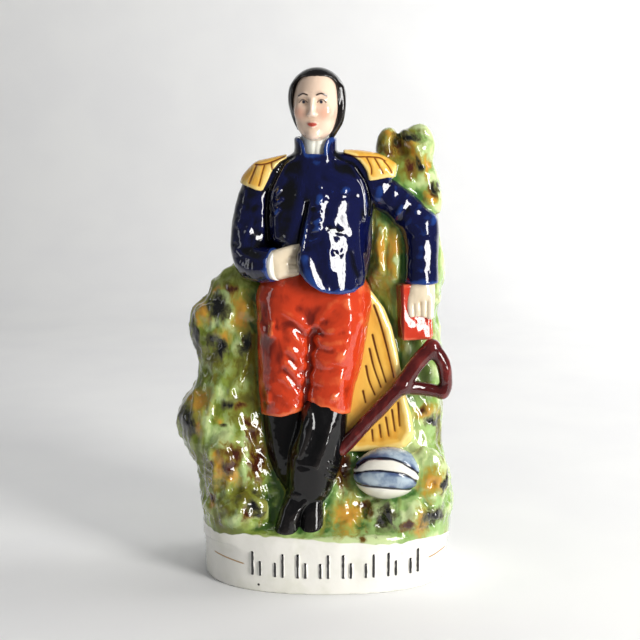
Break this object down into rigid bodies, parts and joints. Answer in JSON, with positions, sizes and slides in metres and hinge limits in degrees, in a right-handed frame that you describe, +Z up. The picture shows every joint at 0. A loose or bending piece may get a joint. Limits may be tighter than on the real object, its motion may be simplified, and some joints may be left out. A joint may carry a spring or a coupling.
{
  "type": "pottery figure",
  "caption": "Flat-backed glazed pottery figure: a standing man in a blue coat against tall rockwork, with a ribbed panel, spade and striped ball, on an oval base.",
  "frame": {"origin": "centre of the base's flat underside", "axes": "+X to the right seen from the front, +Y towards the back, +Z up"},
  "size_m": [0.2094, 0.1214, 0.3797],
  "materials": {
    "glazed_earthenware": "gloss"
  },
  "bodies": {
    "root": {"figure": "glazed_earthenware"}
  },
  "joints": []
}
